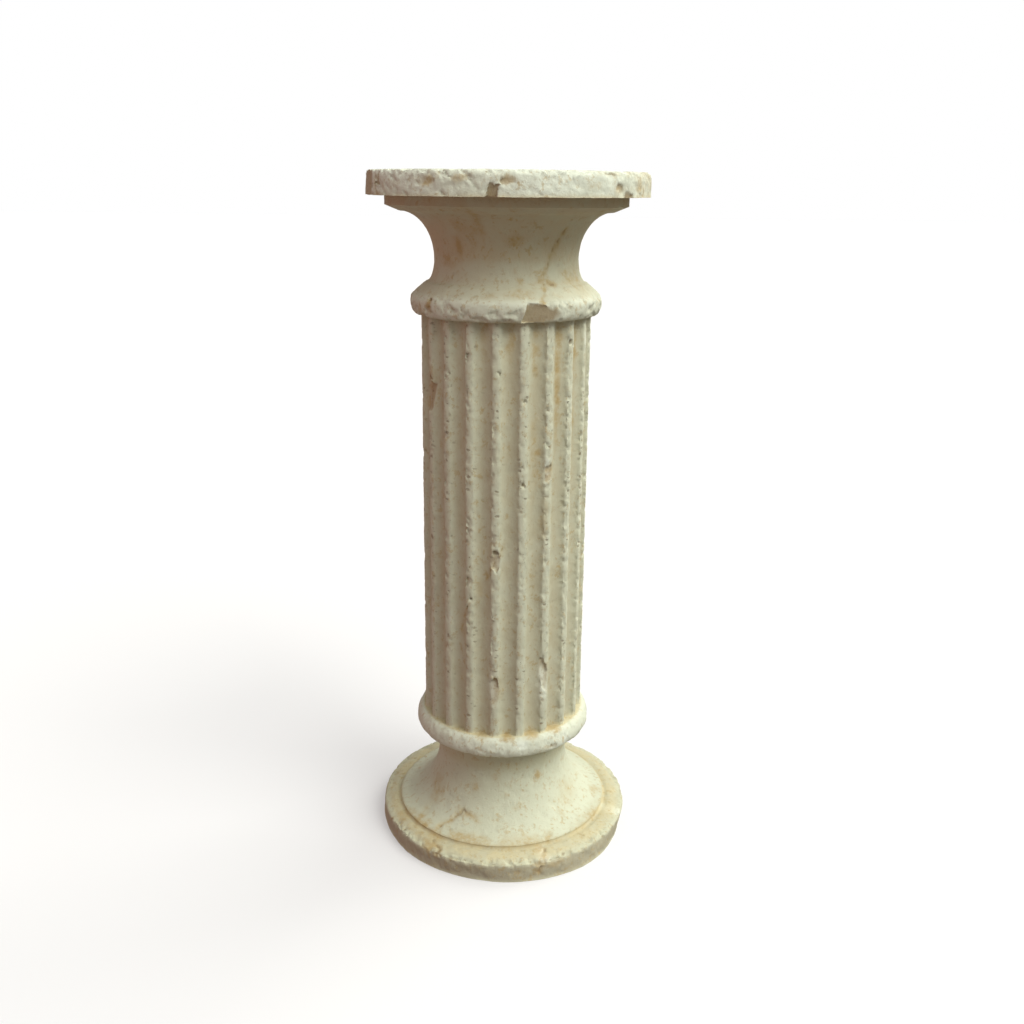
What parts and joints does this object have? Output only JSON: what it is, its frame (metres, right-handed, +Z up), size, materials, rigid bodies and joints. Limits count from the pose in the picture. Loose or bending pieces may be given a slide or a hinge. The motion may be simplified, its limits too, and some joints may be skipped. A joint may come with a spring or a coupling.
{
  "type": "doric column pedestal",
  "caption": "Waist-high fluted stone column pedestal with a round flared foot, a necking ring and a round flat slab on top to stand something on.",
  "frame": {"origin": "centre of the underside, on the floor", "axes": "+Z up the column's axis; -Y is the front seen in the picture and +X is to its right"},
  "size_m": [0.364, 0.366, 0.9],
  "materials": {
    "weathered_stone": "worn limestone, cream with ochre stains in the hollows"
  },
  "bodies": {
    "root": {"column": "weathered_stone"}
  },
  "joints": []
}
